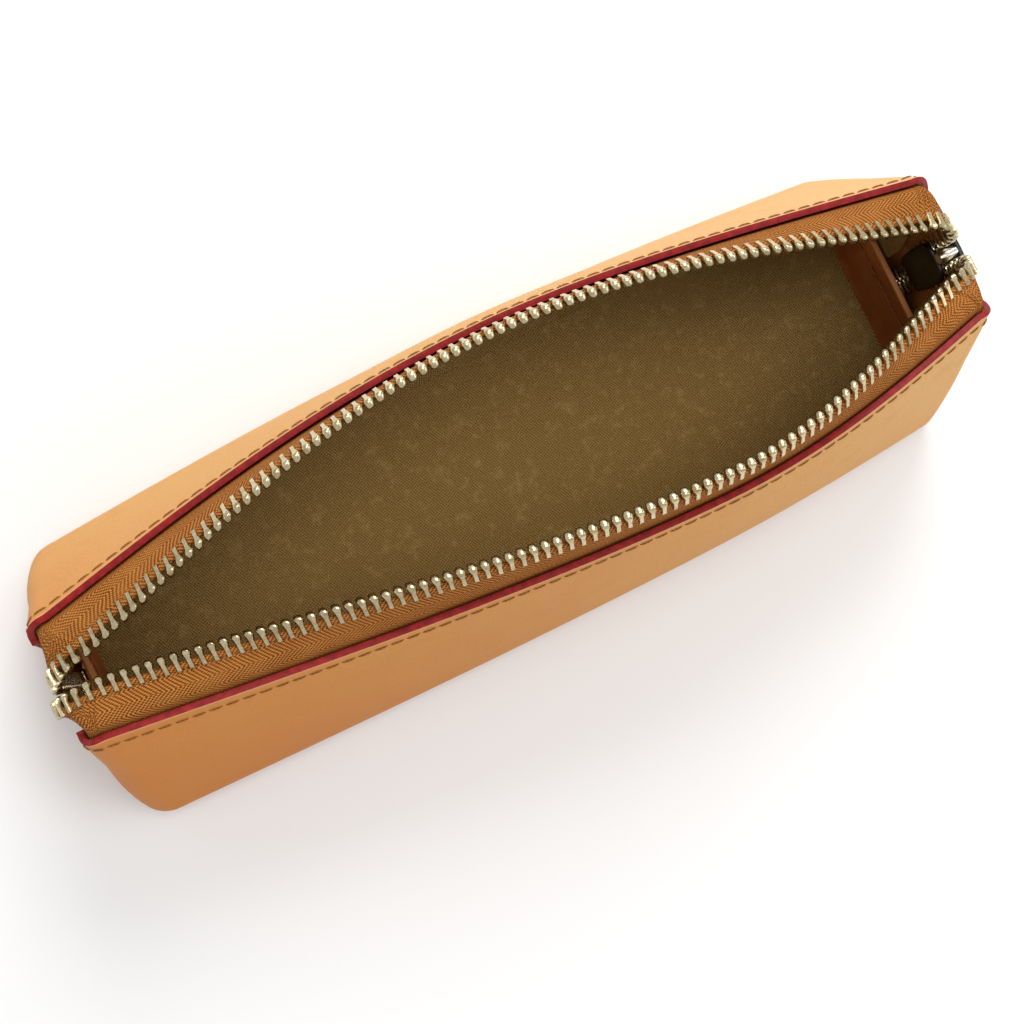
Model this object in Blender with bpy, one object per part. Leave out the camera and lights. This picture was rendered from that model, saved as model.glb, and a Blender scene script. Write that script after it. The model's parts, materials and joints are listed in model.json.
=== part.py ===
"""Fountain pen case: a boxy zipped case in vegetable-tanned leather, standing open.

Metres, +Z up. The origin is the centre of the base's underside, +X runs along the case towards
the end that holds the slider, and +Y towards the back wall. Leather, zip tape and lining lie on
one another as offset sheets. Each long wall is cut into two fixed ends and a middle that leans,
which stands for leather that bends.
"""
import math

import bmesh
import bpy
import numpy as np
from mathutils import Matrix, Vector

MM = 0.001

# Driving sizes of the leather body, measured at the middle of the leather's thickness.
END_X = 94.2 * MM            # end walls, from the centre
WALL_TOP = 50 * MM           # cut top edge of the long walls
LEATHER = 1.6 * MM
CURL = 5 * MM                # radius of the rounded bottom edges
FLOOR_Z = LEATHER / 2
CORNER_LOW = 8 * MM          # upright corners, at the base
CORNER_TOP = 4.2 * MM        # and at the cut edge
END_HOLLOW = 1.0 * MM        # how far an end wall sinks between base and top
GAP = 0.3 * MM               # clearance between neighbours
SPLIT_GAP = 0.4 * MM         # between a leaning middle and the fixed ends

# Where the other layers lie, measured inwards from the leather's middle.
TAPE = 0.5 * MM
LINING = 0.6 * MM
TAPE_DEPTH = 1.45 * MM
LINING_DEPTH = 2.45 * MM
PATCH = 1.2 * MM
PATCH_DEPTH = 4.0 * MM

# Each long wall: widest place, half widths there and at both ends (left, right), how soon the
# curve falls away to each side, and where its row of teeth stands on the left and right ends.
BACK = {"sign": 1, "peak_x": 2 * MM, "top": 26.8 * MM, "top_ends": (12.7 * MM, 15.2 * MM),
        "bow": (1, 0.87), "base": 33.2 * MM, "fold_y": 26 * MM, "middle": (-30 * MM, 30 * MM),
        "stand": 19, "stand_power": 2.3, "row_x": (94.2 * MM, 95 * MM)}
FRONT = {"sign": -1, "peak_x": 33 * MM, "top": 21.7 * MM, "top_ends": (8.8 * MM, 11.8 * MM),
         "bow": (0.85, 1), "base": 31.6 * MM, "fold_y": 25 * MM, "middle": (5 * MM, 60 * MM),
         "stand": 26, "stand_power": 1.75, "row_x": (95.6 * MM, 95 * MM)}
BASE_END = 28.5 * MM         # half width of the base at both ends
SEAM_Y = 8.4 * MM            # from the zip's centre to the leather, low on an end wall
SEAM_LOW = 28 * MM           # the leather stays that far apart up to here
EDGE_DROP = 4.5 * MM         # radius of the cut edge as it turns down an end wall

# Zip: size 5 metal chain, 2.24 mm pitch.
STAND_WIDTH = 8.6 * MM       # tape from the leather's edge to the row of teeth
STAND_END = 94               # degrees from upright, where the tape lies flat at the ends
TAPE_HIDDEN = 3.5 * MM       # sewn in behind the leather
PITCH = 2.24 * MM
TOOTH = 3.4 * MM             # along the tape's width
TOOTH_GAP = 1.6 * MM         # depth of the gaps between teeth
CHAIN_THICK = 2.4 * MM
ROW_BEND = 8 * MM            # radius of the rows over the top corners
SLIDER_X = 95 * MM
ROW_FOOT = 10.5 * MM
ZIP_CENTRE = (0.6 * MM, 0.8 * MM)
ROW_HALF_LEFT = 2.05 * MM
ROW_HALF_MESHED = 1.95 * MM
ROW_HALF_POST = 3.3 * MM

# Slider, and the pull that hangs from it.
SLIDER_Z = (24.5 * MM, 41 * MM)
SHORTER = 2.4 * MM           # the inner plate stops short of the post
PLATE = 1.0 * MM
PLATE_HALF_GAP = 1.55 * MM
PULL_Z = 33 * MM
PULL_X = 98.75 * MM


def clear_scene():
    for old in list(bpy.data.objects):
        bpy.data.objects.remove(old, do_unlink=True)


def material(name, colour, roughness, metallic=0.0):
    mat = bpy.data.materials.new(name)
    mat.use_nodes = True
    shader = mat.node_tree.nodes["Principled BSDF"]
    shader.inputs["Base Color"].default_value = (*colour, 1)
    shader.inputs["Roughness"].default_value = roughness
    shader.inputs["Metallic"].default_value = metallic
    return mat


def add_object(name, mesh, mat, parent=None, at=(0, 0, 0)):
    """Put a mesh in the scene, with its origin at `at`."""
    mesh.transform(Matrix.Translation(-Vector(at)))
    mesh.materials.append(mat)
    piece = bpy.data.objects.new(name, mesh)
    bpy.context.collection.objects.link(piece)
    if parent is None:
        piece.location = at
    else:
        piece.parent = parent
        piece.location = Vector(at) - parent.location
    return piece


def joint_empty(name, at):
    empty = bpy.data.objects.new(name, None)
    bpy.context.collection.objects.link(empty)
    empty.location = at
    return empty


def grid_mesh(name, grid):
    """A sheet of quads from rows of points."""
    rows, columns = len(grid), len(grid[0])
    verts = [tuple(point) for row in grid for point in row]
    faces = []
    for i in range(rows - 1):
        for j in range(columns - 1):
            a = i * columns + j
            faces.append((a, a + 1, a + columns + 1, a + columns))
    mesh = bpy.data.meshes.new(name)
    mesh.from_pydata(verts, [], faces)
    return mesh


def sheet(name, grid, thickness, mat, parent=None, at=(0, 0, 0)):
    """A grid of points given its thickness, half to each side."""
    piece = add_object(name, grid_mesh(name, grid), mat, parent, at)
    solid = piece.modifiers.new("thickness", "SOLIDIFY")
    solid.thickness = thickness
    solid.offset = 0
    return piece


def strip(name, sections, mat, parent=None, at=(0, 0, 0)):
    """A closed bar skinned over a run of four-cornered sections."""
    verts = [tuple(point) for section in sections for point in section]
    faces = [(0, 1, 2, 3)]
    for i in range(len(sections) - 1):
        a = 4 * i
        for k in range(4):
            n = (k + 1) % 4
            faces.append((a + k, a + 4 + k, a + 4 + n, a + n))
    last = 4 * (len(sections) - 1)
    faces.append((last + 3, last + 2, last + 1, last))
    mesh = bpy.data.meshes.new(name)
    mesh.from_pydata(verts, [], faces)
    bm = bmesh.new()
    bm.from_mesh(mesh)
    bmesh.ops.recalc_face_normals(bm, faces=bm.faces)
    bm.to_mesh(mesh)
    bm.free()
    return add_object(name, mesh, mat, parent, at)


def prism(outline, axis, low, high):
    """Extrude a closed outline of (u, v) points along X or Y, from low to high."""
    bm = bmesh.new()
    place = {"X": lambda u, v, w: (w, u, v), "Y": lambda u, v, w: (u, w, v)}[axis]
    ring = [bm.verts.new(place(u, v, low)) for u, v in outline]
    face = bm.faces.new(ring)
    new = bmesh.ops.extrude_face_region(bm, geom=[face])["geom"]
    moved = [item for item in new if isinstance(item, bmesh.types.BMVert)]
    shift = Vector(place(0, 0, high - low))
    bmesh.ops.translate(bm, verts=moved, vec=shift)
    bmesh.ops.recalc_face_normals(bm, faces=bm.faces)
    return bm


def prism_mesh(name, outline, axis, low, high):
    bm = prism(outline, axis, low, high)
    mesh = bpy.data.meshes.new(name)
    bm.to_mesh(mesh)
    bm.free()
    return mesh


def box_outline(u0, u1, v0, v1):
    return [(u0, v0), (u1, v0), (u1, v1), (u0, v1)]


def join(piece, mesh):
    """Unite one more shape with a piece, by a hidden guide and a Boolean."""
    guide = bpy.data.objects.new(piece.name + "_guide", mesh)
    bpy.context.collection.objects.link(guide)
    guide.hide_render = True
    guide.display_type = "WIRE"
    union = piece.modifiers.new("join", "BOOLEAN")
    union.operation = "UNION"
    union.object = guide
    union.solver = "EXACT"


# ---- the shape of the leather body ----

def mix(a, b, t):
    return a + (b - a) * t


def smooth(a, b, value):
    t = min(max((value - a) / (b - a), 0), 1)
    return t * t * (3 - 2 * t)


def away(wall, x):
    """0 at a wall's widest place, 1 at its ends."""
    reach = END_X - wall["peak_x"] if x > wall["peak_x"] else END_X + wall["peak_x"]
    return min(abs(x - wall["peak_x"]) / reach, 1)


def top_y(wall, x):
    """Half width at the cut edge: a quarter cosine from the widest place to the end."""
    side = 1 if x > wall["peak_x"] else 0
    fall = math.cos(math.pi / 2 * away(wall, x) ** wall["bow"][side])
    return mix(wall["top_ends"][side], wall["top"], fall)


def base_y(wall, x):
    return mix(BASE_END, wall["base"], math.cos(math.pi / 2 * away(wall, x)))


def wall_y(wall, x, z):
    rise = max(z - FLOOR_Z - CURL, 0) / (WALL_TOP - FLOOR_Z - CURL)
    return mix(base_y(wall, x), top_y(wall, x), rise)


def end_x(z):
    return END_X - END_HOLLOW * math.sin(math.pi * z / WALL_TOP)


def corner_r(z):
    return mix(CORNER_LOW, CORNER_TOP, z / WALL_TOP)


def seam_y(wall, end, z):
    """Half distance between the leather edges on an end wall."""
    high = top_y(wall, end * END_X) - 2.2 * MM
    return mix(SEAM_Y, high, smooth(SEAM_LOW, WALL_TOP - EDGE_DROP, z))


def body_point(wall, station, z, inset, depth):
    """A point of the body: `inset` shrinks the plan for the rounded bottom edge and `depth`
    steps inwards through the layers. A station is a place on a long wall, round an upright
    corner (by angle) or across an end wall (from corner to zip)."""
    kind, end, value = station
    shrink = inset + depth
    if kind == "long":
        return (value, wall["sign"] * (wall_y(wall, value, z) - shrink), z)
    radius = corner_r(z)
    start_x = end_x(z) - radius
    side_y = wall_y(wall, end * start_x, z)
    across = max(min(radius, side_y - seam_y(wall, end, z)) - shrink, 0.3 * MM)
    turn = math.radians(value) if kind == "corner" else math.pi / 2
    x = start_x + max(radius - shrink, 0.3 * MM) * math.sin(turn)
    y = side_y - shrink - across * (1 - math.cos(turn))
    if kind == "end":
        y = mix(y, seam_y(wall, end, z) - (depth > 2 * MM) * 2.4 * MM, value)
    return (end * x, wall["sign"] * y, z)


def station_top(station, lower):
    """Height of the cut edge: level on the long walls, turning down round the corners."""
    kind, _, value = station
    turn = {"long": 0, "corner": value, "end": 90}[kind]
    drop = EDGE_DROP * (1 - math.cos(math.radians(turn)))
    return WALL_TOP - drop - lower


def stations(wall, part):
    """The columns of one part of a wall: left end, middle or right end."""
    left, right = wall["middle"]
    half = SPLIT_GAP / 2
    if part == "middle":
        return [("long", 0, x) for x in np.linspace(left + half, right - half, 6)]
    end = -1 if part == "left" else 1
    start = left - half if part == "left" else right + half
    corner_x = end * (END_X - CORNER_LOW - 0.5 * MM)
    columns = [("long", end, x) for x in np.linspace(start, corner_x, 6)]
    columns += [("corner", end, turn) for turn in (0, 30, 60, 90)]
    columns += [("end", end, share) for share in (0.5, 1.0)]
    return columns


def wall_grid(wall, part):
    """Leather: flat foot, rounded bottom edge, then the leaning wall."""
    grid = []
    for station in stations(wall, part):
        column = []
        if station[0] == "long":
            start = min(wall["fold_y"], base_y(wall, station[2]) - CURL - 1 * MM) + GAP
            column.append((station[2], wall["sign"] * start, FLOOR_Z))
        else:
            column.append(body_point(wall, station, FLOOR_Z, CURL + 0.8 * MM, 0))
        for turn in (0, 30, 60):
            angle = math.radians(turn)
            z = FLOOR_Z + CURL * (1 - math.cos(angle))
            column.append(body_point(wall, station, z, CURL * (1 - math.sin(angle)), 0))
        top = station_top(station, 0)
        for z in np.linspace(FLOOR_Z + CURL, top, 4):
            column.append(body_point(wall, station, z, 0, 0))
        grid.append(column)
    return grid


def lining_grid(wall, part):
    """Twill lining: from just above the base lining to just below the cut edge."""
    grid = []
    for station in stations(wall, part):
        top = station_top(station, 1.5 * MM)
        low = body_point(wall, station, 3.7 * MM, 0.2 * MM, LINING_DEPTH)
        rise = [body_point(wall, station, z, 0, LINING_DEPTH) for z in np.linspace(7 * MM, top, 4)]
        grid.append([low] + rise)
    return grid


# ---- the zip ----

def stand_angle(wall, x):
    """How far the tape leans from upright: standing at the widest place, flat at the ends."""
    return math.radians(mix(wall["stand"], STAND_END, away(wall, x) ** wall["stand_power"]))


def row_on_top(wall, x):
    angle = stand_angle(wall, x)
    y = wall["sign"] * (top_y(wall, x) - STAND_WIDTH * math.sin(angle))
    return Vector((x, y, WALL_TOP + STAND_WIDTH * math.cos(angle)))


def row_half(end, z):
    """Half distance between the two rows on an end wall."""
    if end < 0:
        return ROW_HALF_LEFT
    return mix(ROW_HALF_MESHED, ROW_HALF_POST, smooth(25 * MM, 30 * MM, z))


def row_on_end(wall, end, z):
    side = 1 if end > 0 else 0
    return Vector((end * wall["row_x"][side], ZIP_CENTRE[side] + wall["sign"] * row_half(end, z), z))


def bend_centre(wall, end):
    """Centre of the quarter circle by which a row turns down an end wall: its x and z."""
    x = end * (wall["row_x"][1 if end > 0 else 0] - ROW_BEND)
    return x, row_on_top(wall, x).z - ROW_BEND


def row_bend(wall, end, turn):
    """Row centre and outward direction, turned this far round the corner from the top."""
    x, z = bend_centre(wall, end)
    top, low = row_on_top(wall, x), row_on_end(wall, end, z)
    radial = Vector((end * math.sin(turn), 0, math.cos(turn)))
    centre = Vector((x, mix(top.y, low.y, turn / (math.pi / 2)), z))
    return centre + radial * ROW_BEND, radial


def row_lengths(wall):
    """Left end wall, corner, mouth, corner and right end wall."""
    (left_x, left_z), (right_x, right_z) = bend_centre(wall, -1), bend_centre(wall, 1)
    arc = ROW_BEND * math.pi / 2
    return left_z - ROW_FOOT, arc, right_x - left_x, arc, right_z - ROW_FOOT


def row_frame(wall, distance):
    """Row centre, width direction and thickness direction at a distance along the row from
    its foot on the left end wall."""
    lengths = row_lengths(wall)
    across = Vector((0, -wall["sign"], 0))
    for section, length in enumerate(lengths):
        if distance <= length or section == 4:
            break
        distance -= length
    share = min(distance / length, 1)
    end = -1 if section < 2 else 1
    if section in (0, 4):
        z = ROW_FOOT + length * (share if section == 0 else 1 - share)
        return row_on_end(wall, end, z), across, Vector((end, 0, 0))
    if section == 2:
        x = mix(bend_centre(wall, -1)[0], bend_centre(wall, 1)[0], share)
        angle = stand_angle(wall, x)
        width = Vector((0, -wall["sign"] * math.sin(angle), math.cos(angle)))
        return row_on_top(wall, x), width, Vector((0, wall["sign"] * width.z, -wall["sign"] * width.y))
    centre, radial = row_bend(wall, end, math.pi / 2 * (1 - share if section == 1 else share))
    return centre, across, radial


def in_part(wall, part, x):
    left, right = wall["middle"]
    half = SPLIT_GAP / 2
    if part == "left":
        return x < left - half
    if part == "right":
        return x > right + half
    return left + half < x < right - half


def teeth_sections(wall, part):
    """Cord and teeth of one stretch as one rack: deep at a tooth, shallow between teeth."""
    sections = []
    count = int(sum(row_lengths(wall)) / PITCH)
    for step in range(2 * count + 1):
        centre, width, up = row_frame(wall, step * PITCH / 2)
        if not in_part(wall, part, centre.x):
            continue
        reach = TOOTH / 2 if step % 2 else TOOTH / 2 - TOOTH_GAP
        back, front = centre - width * TOOTH / 2, centre + width * reach
        half = up * CHAIN_THICK / 2
        sections.append([back - half, front - half, front + half, back + half])
    return sections


def tape_column(wall, end, kind, value):
    """Hidden edge, leather edge and row edge of the tape at one place."""
    if kind == "top":
        row = row_on_top(wall, value)
        angle = stand_angle(wall, value)
        width = Vector((0, -wall["sign"] * math.sin(angle), math.cos(angle)))
        hidden = body_point(wall, ("long", 0, value), WALL_TOP - TAPE_HIDDEN, 0, TAPE_DEPTH)
        seam = body_point(wall, ("long", 0, value), WALL_TOP - 0.3 * MM, 0, TAPE_DEPTH)
    elif kind == "bend":
        row, _ = row_bend(wall, end, math.radians(value))
        width = Vector((0, -wall["sign"], 0))
        station = ("corner", end, value)
        edge = station_top(station, 0.3 * MM)
        seam = body_point(wall, station, edge, 0, TAPE_DEPTH)
        hidden = body_point(wall, ("corner", end, value * 0.7), edge - TAPE_HIDDEN, 0, TAPE_DEPTH)
    else:
        row = row_on_end(wall, end, value)
        width = Vector((0, -wall["sign"], 0))
        x = end * (end_x(value) - TAPE_DEPTH)
        y = seam_y(wall, end, value)
        seam = (x, wall["sign"] * (y + 0.2 * MM), value)
        hidden = (x, wall["sign"] * (y + TAPE_HIDDEN), value)
    row_edge = row - width * (TOOTH / 2 + 1.5 * GAP)
    return [Vector(hidden), Vector(seam), row_edge]


def tape_grid(wall, part):
    left, right = wall["middle"]
    half = SPLIT_GAP / 2
    if part == "middle":
        return [tape_column(wall, 0, "top", x) for x in np.linspace(left + half, right - half, 6)]
    end = -1 if part == "left" else 1
    start = left - half if part == "left" else right + half
    bend_x, _ = bend_centre(wall, end)
    columns = [tape_column(wall, end, "top", x) for x in np.linspace(start, bend_x, 7)]
    columns += [tape_column(wall, end, "bend", turn) for turn in (22.5, 45, 67.5, 90)]
    columns += [tape_column(wall, end, "side", z) for z in np.linspace(40, 7, 12) * MM]
    return columns


# ---- pieces ----

def wall_parts(joints):
    """Each part of each wall, with the keywords that hang a middle on its wall's joint."""
    for name, wall in (("front", FRONT), ("back", BACK)):
        for part in ("left", "right"):
            yield name, wall, part, {}
        yield name, wall, "middle", {"parent": joints[name], "at": joints[name].location}


def build_walls(leather, joints):
    for name, wall, part, hung in wall_parts(joints):
        sheet(f"{name}_wall_{part}", wall_grid(wall, part), LEATHER, leather, **hung)


def build_linings(cloth, joints):
    for name, wall, part, hung in wall_parts(joints):
        sheet(f"{name}_lining_{part}", lining_grid(wall, part), LINING, cloth, **hung)


def build_tapes(cloth, joints):
    for name, wall, part, hung in wall_parts(joints):
        sheet(f"{name}_tape_{part}", tape_grid(wall, part), TAPE, cloth, **hung)


def build_teeth(metal, joints):
    for name, wall, part, hung in wall_parts(joints):
        strip(f"{name}_teeth_{part}", teeth_sections(wall, part), metal, **hung)


def build_base(leather):
    """Flat base, with a tongue at each end that turns up to meet the foot of the zip."""
    edge = END_X - CURL
    grid = []
    for turn in (75, 40, 0):
        angle = math.radians(turn)
        x = edge + CURL * math.sin(angle)
        z = FLOOR_Z + CURL * (1 - math.cos(angle))
        grid.append((x, SEAM_Y - GAP - 0.2 * MM, SEAM_Y - GAP - 0.2 * MM, z))
    foot = edge - 0.8 * MM - 3 * GAP
    tongue = SEAM_Y - GAP - 0.2 * MM
    grid.append((foot, tongue, tongue, FLOOR_Z))
    for back_off, inset in ((GAP, 3.8 * MM), (4 * MM, 1.9 * MM)):
        low = BASE_END - CURL - inset
        grid.append((foot - back_off, low, low, FLOOR_Z))
    flat = []
    for x in np.linspace(80, -80, 17) * MM:
        half = [min(wall["fold_y"], base_y(wall, x) - CURL - 1 * MM) - GAP for wall in (FRONT, BACK)]
        flat.append((x, half[0], half[1], FLOOR_Z))
    mirror = [(-x, front, back, z) for x, front, back, z in reversed(grid)]
    rows = grid + flat + mirror
    points = [[(x, mix(-front, back, s), z) for s in (0, 0.5, 1)] for x, front, back, z in rows]
    sheet("base_panel", points, LEATHER, leather)


def build_base_lining(cloth):
    """Flat on the base, clear of the rounded edges and of the leaning middles' fold lines."""
    z = LEATHER + GAP + LINING / 2
    rows = []
    for x in np.linspace(-88, 88, 17) * MM:
        inset = 4.6 * MM + 3 * MM * smooth(80 * MM, 88 * MM, abs(x))
        front, back = [min(base_y(wall, x) - inset, wall["fold_y"] - 2 * GAP) for wall in (FRONT, BACK)]
        rows.append([(x, mix(-front, back, share), z) for share in (0, 0.5, 1)])
    sheet("base_lining", rows, LINING, cloth)


def build_end_patches(leather):
    """Leather facing across the foot of each end wall, over the zip's sewn-in end."""
    for name, end in (("left", -1), ("right", 1)):
        rows = []
        for z in np.array((3.4, 13, 22.5)) * MM:
            start_x = end * (end_x(z) - corner_r(z))
            reach = [wall_y(wall, start_x, z) - corner_r(z) - 0.8 * MM for wall in (FRONT, BACK)]
            x = end * (end_x(z) - PATCH_DEPTH)
            rows.append([(x, mix(-reach[0], reach[1], share), z) for share in (0, 0.5, 1)])
        sheet(f"{name}_end_patch", rows, PATCH, leather)


def build_stops(metal):
    foot, tall = 7 * MM, 3.1 * MM
    half_x = CHAIN_THICK / 2 + 0.1 * MM
    for name, wall in (("top_stop_front", FRONT), ("top_stop_back", BACK)):
        x, centre, _ = row_on_end(wall, -1, foot)
        outline = box_outline(centre - 1.6 * MM, centre + 1.6 * MM, foot, foot + tall)
        mesh = prism_mesh(name, outline, "X", x - half_x, x + half_x)
        add_object(name, mesh, metal)
    reach = ROW_HALF_MESHED + TOOTH / 2
    outline = box_outline(ZIP_CENTRE[1] - reach, ZIP_CENTRE[1] + reach, foot, foot + tall)
    mesh = prism_mesh("bottom_stop", outline, "X", SLIDER_X - half_x, SLIDER_X + half_x)
    add_object("bottom_stop", mesh, metal)


def cut_away(piece, name, mesh):
    """Take a closed mesh out of a piece."""
    cutter = bpy.data.objects.new(name, mesh)
    bpy.context.collection.objects.link(cutter)
    cutter.hide_render = True
    cutter.display_type = "WIRE"
    cut = piece.modifiers.new(name, "BOOLEAN")
    cut.operation = "DIFFERENCE"
    cut.object = cutter
    cut.solver = "EXACT"


def plate_outline(high):
    """A slider plate from outside: narrow where the chain leaves, round shoulders above."""
    low = SLIDER_Z[0]
    right = [(3.5 * MM, low), (3.9 * MM, low + 0.6 * MM), (4.5 * MM, high - 5 * MM)]
    right += [(4.4 * MM, high - 2.6 * MM), (3.4 * MM, high - 0.8 * MM), (1.6 * MM, high)]
    left = [(-y, z) for y, z in reversed(right)]
    return [(y + ZIP_CENTRE[1], z) for y, z in right + left]


def build_slider(metal, joint):
    """Two plates joined by the wedge post between the rows, and the bail for the pull."""
    outer = SLIDER_X + PLATE_HALF_GAP
    inner = SLIDER_X - PLATE_HALF_GAP
    mid, high = ZIP_CENTRE[1], SLIDER_Z[1]
    mesh = prism_mesh("slider_body", plate_outline(high - SHORTER), "X", inner - PLATE, inner)
    body = add_object("slider_body", mesh, metal, joint, joint.location)
    join(body, prism_mesh("outer_plate", plate_outline(high), "X", outer, outer + PLATE))
    post = [(mid - 1.2 * MM, high - 1.2 * MM), (mid, high - 5 * MM), (mid + 1.2 * MM, high - 1.2 * MM),
            (mid, high - 0.2 * MM)]
    join(body, prism_mesh("post", post, "X", inner - PLATE / 2, outer + PLATE / 2))
    face, reach = outer + PLATE / 2, PULL_X + 1.7 * MM
    arch = [(face, PULL_Z - 2.6 * MM), (reach - 0.8 * MM, PULL_Z - 2.6 * MM), (reach, PULL_Z - 1.6 * MM),
            (reach, PULL_Z + 1.6 * MM), (reach - 0.8 * MM, PULL_Z + 2.6 * MM), (face, PULL_Z + 2.6 * MM)]
    join(body, prism_mesh("bail", arch, "Y", mid - 0.7 * MM, mid + 0.7 * MM))
    hole = box_outline(outer + PLATE, PULL_X + 0.95 * MM, PULL_Z - 1.6 * MM, PULL_Z + 1.6 * MM)
    cut_away(body, "bail_hole", prism_mesh("bail_hole", hole, "Y", mid - 2 * MM, mid + 2 * MM))


def build_pull(metal, joint):
    """A flat drop-shaped tab; its eye is a window whose top bar runs through the bail."""
    mid, low = ZIP_CENTRE[1], PULL_Z - 24 * MM
    right = [(1.9 * MM, low), (3.2 * MM, low + 1.4 * MM), (2.6 * MM, PULL_Z - 9 * MM)]
    right.append((2.6 * MM, PULL_Z + 0.6 * MM))
    left = [(-y, z) for y, z in reversed(right)]
    outline = [(mid + y, z) for y, z in right + left]
    half = 0.6 * MM
    mesh = prism_mesh("slider_pull", outline, "X", PULL_X - half, PULL_X + half)
    pull = add_object("slider_pull", mesh, metal, joint, joint.location)
    window = box_outline(mid - 1.4 * MM, mid + 1.4 * MM, PULL_Z - 6.5 * MM, PULL_Z - 0.6 * MM)
    cut_away(pull, "pull_window", prism_mesh("pull_window", window, "X", PULL_X - 2 * MM, PULL_X + 2 * MM))


def main():
    clear_scene()
    leather = material("tan_leather", (0.62, 0.29, 0.11), 0.55)
    facing = material("facing_leather", (0.42, 0.16, 0.05), 0.6)
    tape = material("zip_tape", (0.50, 0.23, 0.06), 0.85)
    twill = material("twill_lining", (0.24, 0.19, 0.10), 0.9)
    silver = material("nickel_silver", (0.78, 0.72, 0.58), 0.3, 1.0)
    dark = material("gunmetal", (0.20, 0.19, 0.18), 0.35, 1.0)
    joints = {
        "front": joint_empty("front_wall_lean", (0, -FRONT["fold_y"], FLOOR_Z)),
        "back": joint_empty("back_wall_lean", (0, BACK["fold_y"], FLOOR_Z)),
    }
    slide = joint_empty("slider_travel", (SLIDER_X, ZIP_CENTRE[1], sum(SLIDER_Z) / 2))
    swing = joint_empty("pull_swing", (PULL_X, ZIP_CENTRE[1], PULL_Z))
    build_base(leather)
    build_walls(leather, joints)
    build_base_lining(twill)
    build_linings(twill, joints)
    build_end_patches(facing)
    build_tapes(tape, joints)
    build_teeth(silver, joints)
    build_stops(silver)
    build_slider(dark, slide)
    build_pull(dark, swing)


main()
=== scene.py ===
import json
import math

import bpy
import numpy as np
from mathutils import Matrix, Vector


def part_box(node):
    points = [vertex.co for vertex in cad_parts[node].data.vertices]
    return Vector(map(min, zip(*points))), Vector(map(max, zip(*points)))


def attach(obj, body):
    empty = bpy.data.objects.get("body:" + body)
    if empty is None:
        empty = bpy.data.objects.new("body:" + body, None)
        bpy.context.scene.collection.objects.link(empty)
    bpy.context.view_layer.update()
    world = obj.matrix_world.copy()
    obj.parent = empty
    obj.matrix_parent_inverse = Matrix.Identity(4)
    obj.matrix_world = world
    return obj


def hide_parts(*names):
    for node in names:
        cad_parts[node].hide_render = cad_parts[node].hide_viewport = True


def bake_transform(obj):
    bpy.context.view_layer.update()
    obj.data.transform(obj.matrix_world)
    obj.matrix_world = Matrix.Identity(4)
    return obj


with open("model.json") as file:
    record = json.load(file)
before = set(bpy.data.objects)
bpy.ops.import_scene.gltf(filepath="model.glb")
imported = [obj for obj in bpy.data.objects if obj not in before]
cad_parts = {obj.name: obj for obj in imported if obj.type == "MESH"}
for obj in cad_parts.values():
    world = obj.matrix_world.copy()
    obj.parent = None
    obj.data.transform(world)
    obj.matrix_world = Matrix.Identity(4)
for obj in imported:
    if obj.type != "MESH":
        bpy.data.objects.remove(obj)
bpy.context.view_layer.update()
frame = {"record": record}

# ---------------------------------------------------------------------------------------------
# Camera, first, because it decides what is seen: above the mouth, a little to the left of the
# middle, with the case lying aslant across the view.
# ---------------------------------------------------------------------------------------------
MM = 0.001
CAMERA_AT = Vector((-52.2, -6.2, 332.2)) * MM
CAMERA_TILT = math.radians(-8.9)      # leaning towards the slider's end
CAMERA_ROLL = math.radians(-26.6)     # the case's long axis rises to the right by this much
LENS = 55.3

camera_data = bpy.data.cameras.new("camera")
camera_data.lens = LENS
camera_data.sensor_width = 36
camera_data.clip_start = 0.01
camera = bpy.data.objects.new("camera", camera_data)
bpy.context.collection.objects.link(camera)
lean = Matrix.Rotation(CAMERA_TILT, 4, "Y")
camera.matrix_world = Matrix.Translation(CAMERA_AT) @ lean @ Matrix.Rotation(CAMERA_ROLL, 4, "Z")
bpy.context.scene.camera = camera

# ---------------------------------------------------------------------------------------------
# Leather body: one sheet of vegetable-tanned leather, 1.6 mm thick, folded up into two long
# walls that wrap round the corners to the zip. Its cut edge is sanded round and painted red.
# ---------------------------------------------------------------------------------------------
LEATHER = 1.6 * MM
END_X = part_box("back_wall_right")[1][0] - LEATHER / 2
FLOOR_Z = LEATHER / 2
WALL_TOP = 50 * MM
CURL = 5 * MM                # rounded bottom edges
CORNER_LOW = 6 * MM          # upright corners, at the base and at the cut edge
CORNER_TOP = 4.2 * MM
END_BULGE = 0.9 * MM         # the end walls belly out low down
EDGE_DROP = 4.5 * MM         # the cut edge turns down the end walls on this radius
BASE_END = 28.5 * MM
SEAM_Y = 8.4 * MM
SEAM_LOW = 28 * MM
STITCH_INSET = 2.7 * MM
FOLD_INSET = 0.8 * MM        # the fold line lies this far inside the foot of the curl
SKIVED = 0.74                # share of the thickness left at the cut edge


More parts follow.
